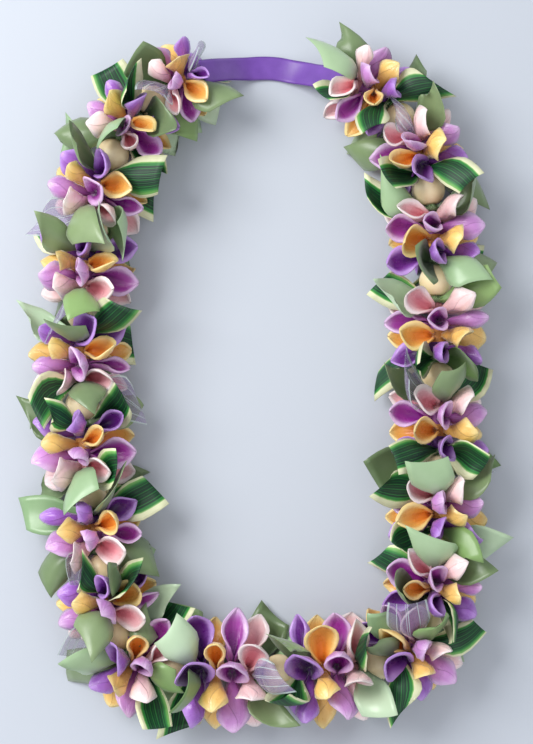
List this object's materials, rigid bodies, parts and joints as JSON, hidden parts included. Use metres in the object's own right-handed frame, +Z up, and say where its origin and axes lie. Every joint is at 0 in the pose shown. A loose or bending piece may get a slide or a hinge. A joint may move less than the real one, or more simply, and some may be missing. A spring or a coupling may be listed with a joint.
{
  "type": "ribbon flower lei",
  "caption": "Long closed garland of folded satin ribbon flowers, round beads and ribbon leaves on a cord, worn round the neck.",
  "frame": {"origin": "middle of the whole lei's outer box, on the surface that it lies on", "axes": "+Y from the breast end to the neck ribbon, +Z up off the surface, +X to the right as seen from above with the neck ribbon at the top"},
  "size_m": [0.322, 0.458, 0.0709],
  "materials": {
    "petal_satin": "satin ribbon in rows of purple, gold, orchid and pink",
    "leaf_ribbon": "sage and mint satin, striped green ribbon and sheer lilac organza",
    "bead_wood": "smooth natural cream",
    "cord": "twisted cord",
    "neck_satin": "purple satin ribbon"
  },
  "bodies": {
    "root": {"bead_01": "bead_wood", "bead_02": "bead_wood", "bead_03": "bead_wood", "bead_04": "bead_wood", "bead_05": "bead_wood", "bead_06": "bead_wood", "bead_07": "bead_wood", "bead_08": "bead_wood", "bead_09": "bead_wood", "bead_10": "bead_wood", "bead_11": "bead_wood", "bead_12": "bead_wood", "bead_13": "bead_wood", "bead_14": "bead_wood", "bead_15": "bead_wood", "bead_16": "bead_wood", "bead_17": "bead_wood", "bead_18": "bead_wood", "bloom_01": "petal_satin", "bloom_02": "petal_satin", "bloom_03": "petal_satin", "bloom_04": "petal_satin", "bloom_05": "petal_satin", "bloom_06": "petal_satin", "bloom_07": "petal_satin", "bloom_08": "petal_satin", "bloom_09": "petal_satin", "bloom_10": "petal_satin", "bloom_11": "petal_satin", "bloom_12": "petal_satin", "bloom_13": "petal_satin", "bloom_14": "petal_satin", "bloom_15": "petal_satin", "bloom_16": "petal_satin", "bloom_17": "petal_satin", "bloom_18": "petal_satin", "bloom_19": "petal_satin", "core_cord": "cord", "leaves_01": "leaf_ribbon", "leaves_02": "leaf_ribbon", "leaves_03": "leaf_ribbon", "leaves_04": "leaf_ribbon", "leaves_05": "leaf_ribbon", "leaves_06": "leaf_ribbon", "leaves_07": "leaf_ribbon", "leaves_08": "leaf_ribbon", "leaves_09": "leaf_ribbon", "leaves_10": "leaf_ribbon", "leaves_11": "leaf_ribbon", "leaves_12": "leaf_ribbon", "leaves_13": "leaf_ribbon", "leaves_14": "leaf_ribbon", "leaves_15": "leaf_ribbon", "leaves_16": "leaf_ribbon", "leaves_17": "leaf_ribbon", "leaves_18": "leaf_ribbon", "leaves_19": "leaf_ribbon", "leaves_20": "leaf_ribbon", "neck_ribbon": "neck_satin"}
  },
  "joints": []
}
